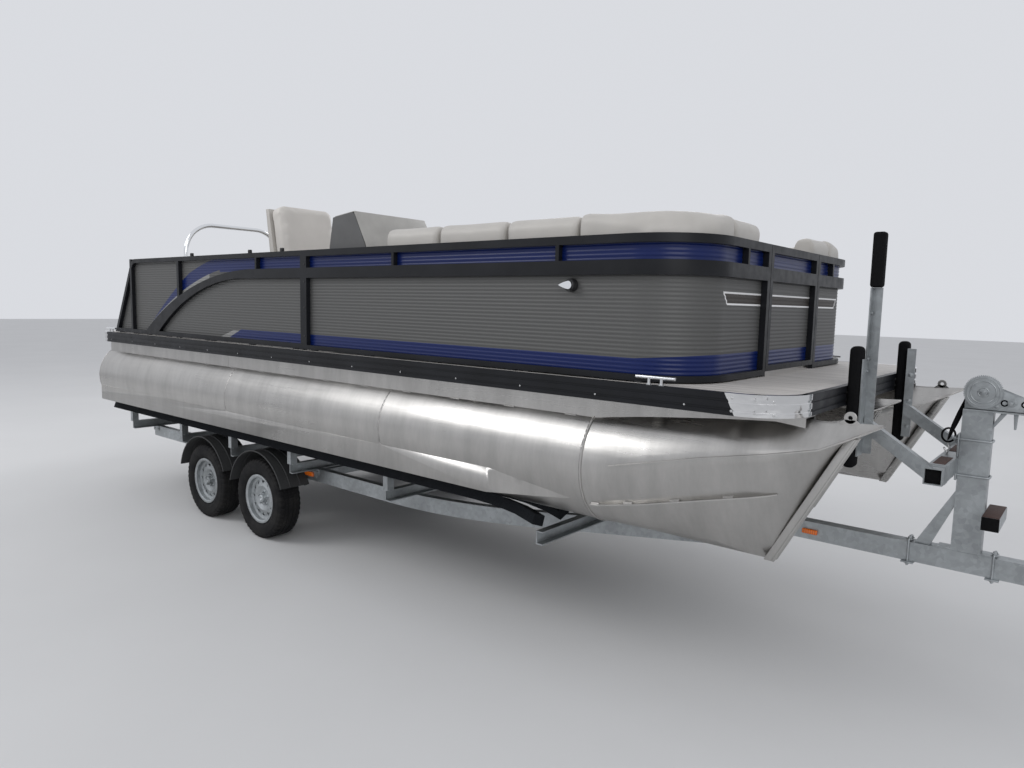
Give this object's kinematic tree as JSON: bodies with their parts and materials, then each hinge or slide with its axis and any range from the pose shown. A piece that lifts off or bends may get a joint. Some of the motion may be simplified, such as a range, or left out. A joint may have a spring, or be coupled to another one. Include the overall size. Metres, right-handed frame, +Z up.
{
  "type": "pontoon boat on a trailer",
  "caption": "Flat-decked pontoon boat with fenced cockpit, lounges, helm, tow arch and outboard engine, lying on the bunks of a galvanised tandem-axle trailer with winch post and jack.",
  "frame": {"origin": "on the ground, midway between the coupler's nose and the engine cowl's aft end, on the boat's centreline", "axes": "+X towards the bow and the coupler, +Y to port, +Z up"},
  "size_m": [9.77, 2.698, 2.6889],
  "materials": {
    "mill_aluminium": "mill finish, fine brushed",
    "polished_aluminium": "polished",
    "deck_vinyl": "weathered plank vinyl",
    "black_rail": "satin black",
    "grey_sheet": "metallic dark grey",
    "chromed": "polished",
    "lounge_shell": "satin",
    "lounge_vinyl": "soft satin",
    "console_shell": "gloss",
    "wheel_grip": "soft",
    "chair_frame": "satin",
    "chair_vinyl": "soft satin",
    "engine_black": "satin",
    "engine_hood": "gloss",
    "bright_steel": "machined",
    "carpet": "carpet over wood",
    "galvanised": "hot-dip galvanised, weathered",
    "fender_grey": "weathered",
    "pad_black": "carpet sleeve",
    "tyre_black": "dusty"
  },
  "bodies": {
    "hull_and_trailer": {"pontoon_starboard": "mill_aluminium", "pontoon_port": "mill_aluminium", "pontoon_center": "mill_aluminium", "deck_risers": "mill_aluminium", "deck_channels": "mill_aluminium", "deck": "deck_vinyl", "corner_castings": "polished_aluminium", "rub_rails": "black_rail", "fence_starboard": "black_rail", "panel_starboard": "grey_sheet", "fence_port": "black_rail", "panel_port": "grey_sheet", "fence_stern": "black_rail", "panel_stern": "grey_sheet", "deck_fittings": "chromed", "lounge_bases": "lounge_shell", "cushions_starboard": "lounge_vinyl", "cushions_port": "lounge_vinyl", "cushions_stern": "lounge_vinyl", "helm_console": "console_shell", "chair_pedestal": "polished_aluminium", "tow_arch": "chromed", "engine_pod": "mill_aluminium", "bunks": "carpet", "trailer_frame": "galvanised", "tongue": "galvanised", "coupler": "galvanised", "axles": "galvanised", "fenders": "fender_grey", "winch_post": "galvanised", "winch": "galvanised", "bow_stop_frame": "galvanised", "bow_stop_pads": "pad_black"},
    "bow_gate": {"bow_gate": "black_rail", "bow_gate_panel": "grey_sheet"},
    "port_gate": {"port_gate": "black_rail", "port_gate_panel": "grey_sheet"},
    "stern_gate": {"stern_gate": "black_rail", "stern_gate_panel": "grey_sheet"},
    "steering_wheel": {"steering_wheel": "wheel_grip"},
    "chair": {"chair_shell": "chair_frame", "chair_cushions": "chair_vinyl"},
    "engine_swivel": {"engine_swivel": "engine_black"},
    "engine": {"engine_leg": "engine_black", "engine_cowl": "engine_hood"},
    "propeller": {"propeller": "bright_steel"},
    "jack": {"jack": "galvanised"},
    "wheel_front_starboard": {"tyre_front_starboard": "tyre_black", "rim_front_starboard": "galvanised"},
    "wheel_front_port": {"tyre_front_port": "tyre_black", "rim_front_port": "galvanised"},
    "wheel_rear_starboard": {"tyre_rear_starboard": "tyre_black", "rim_rear_starboard": "galvanised"},
    "wheel_rear_port": {"tyre_rear_port": "tyre_black", "rim_rear_port": "galvanised"}
  },
  "joints": [
    {"name": "bow_gate_hinge", "type": "hinge", "parent": "hull_and_trailer", "child": "bow_gate", "pos_m": [2.601, -0.3905, 1.9], "axis": [0, 0, 1], "range_deg": [0, 90]},
    {"name": "port_gate_hinge", "type": "hinge", "parent": "hull_and_trailer", "child": "port_gate", "pos_m": [0.4125, 1.2, 1.9], "axis": [0, 0, 1], "range_deg": [0, 90]},
    {"name": "stern_gate_hinge", "type": "hinge", "parent": "hull_and_trailer", "child": "stern_gate", "pos_m": [-3.096, -1.0575, 1.9], "axis": [0, 0, -1], "range_deg": [0, 90]},
    {"name": "steering_turn", "type": "hinge", "parent": "hull_and_trailer", "child": "steering_wheel", "pos_m": [-0.235, -0.84, 2.189], "axis": [0.9063, 0, -0.4226], "range_deg": [-540, 540]},
    {"name": "chair_swivel", "type": "hinge", "parent": "hull_and_trailer", "child": "chair", "pos_m": [-0.825, -0.715, 1.909], "axis": [0, 0, 1], "continuous": true},
    {"name": "engine_tilt", "type": "hinge", "parent": "hull_and_trailer", "child": "engine_swivel", "pos_m": [-4.34, 0, 1.46], "axis": [0, 1, 0], "range_deg": [0, 60]},
    {"name": "engine_steer", "type": "hinge", "parent": "engine_swivel", "child": "engine", "pos_m": [-4.435, 0, 1.3], "axis": [0, 0, 1], "range_deg": [-30, 30]},
    {"name": "propeller_turn", "type": "hinge", "parent": "engine", "child": "propeller", "pos_m": [-4.815, 0, 0.64], "axis": [1, 0, 0], "continuous": true},
    {"name": "jack_swing", "type": "hinge", "parent": "hull_and_trailer", "child": "jack", "pos_m": [4.285, 0.06, 0.658], "axis": [0, 1, 0], "range_deg": [0, 90]},
    {"name": "wheel_front_starboard_turn", "type": "hinge", "parent": "hull_and_trailer", "child": "wheel_front_starboard", "pos_m": [-1.064, -1.0875, 0.318], "axis": [0, 1, 0], "continuous": true},
    {"name": "wheel_front_port_turn", "type": "hinge", "parent": "hull_and_trailer", "child": "wheel_front_port", "pos_m": [-1.064, 1.0875, 0.318], "axis": [0, 1, 0], "continuous": true},
    {"name": "wheel_rear_starboard_turn", "type": "hinge", "parent": "hull_and_trailer", "child": "wheel_rear_starboard", "pos_m": [-1.913, -1.0875, 0.318], "axis": [0, 1, 0], "continuous": true},
    {"name": "wheel_rear_port_turn", "type": "hinge", "parent": "hull_and_trailer", "child": "wheel_rear_port", "pos_m": [-1.913, 1.0875, 0.318], "axis": [0, 1, 0], "continuous": true}
  ],
  "couplings": [
    {"joint": "steering_turn", "follows": "engine_steer", "ratio": 18}
  ]
}
